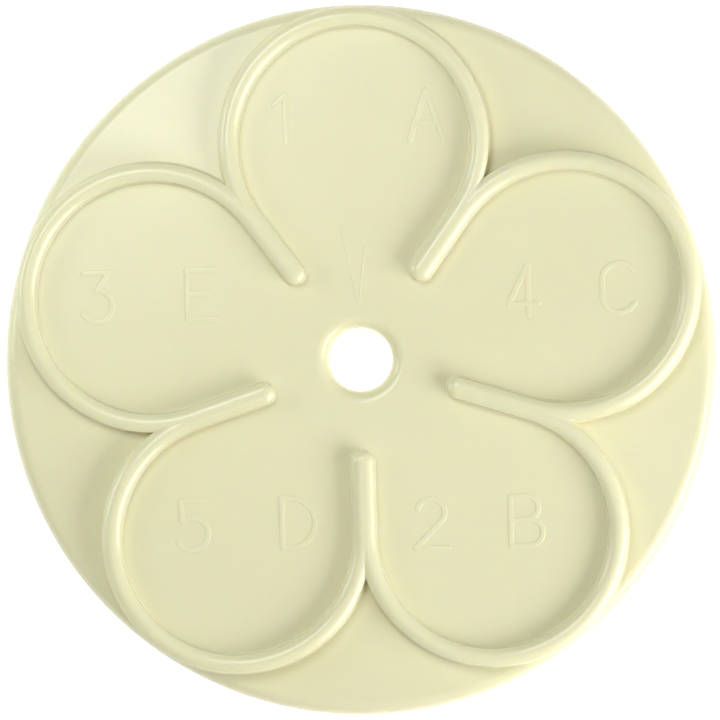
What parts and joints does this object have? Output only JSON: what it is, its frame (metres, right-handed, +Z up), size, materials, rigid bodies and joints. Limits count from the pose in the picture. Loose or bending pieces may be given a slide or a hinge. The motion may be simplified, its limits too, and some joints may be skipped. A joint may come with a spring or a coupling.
{
  "type": "five-petal moulded craft plate",
  "caption": "Round moulded plate with raised ribs that outline teardrop petals, raised index characters on the petal floors and a central hole with a rounded lip.",
  "frame": {"origin": "centre of the plate in the plane that it rests on", "axes": "+Z up through the centre hole, +Y towards the petal marked 1 A, +X to the right of it seen from above"},
  "size_m": [0.12, 0.12, 0.0086],
  "materials": {
    "ivory_plastic": "smooth glossy ivory moulding"
  },
  "bodies": {
    "root": {"petal_plate": "ivory_plastic"}
  },
  "joints": []
}
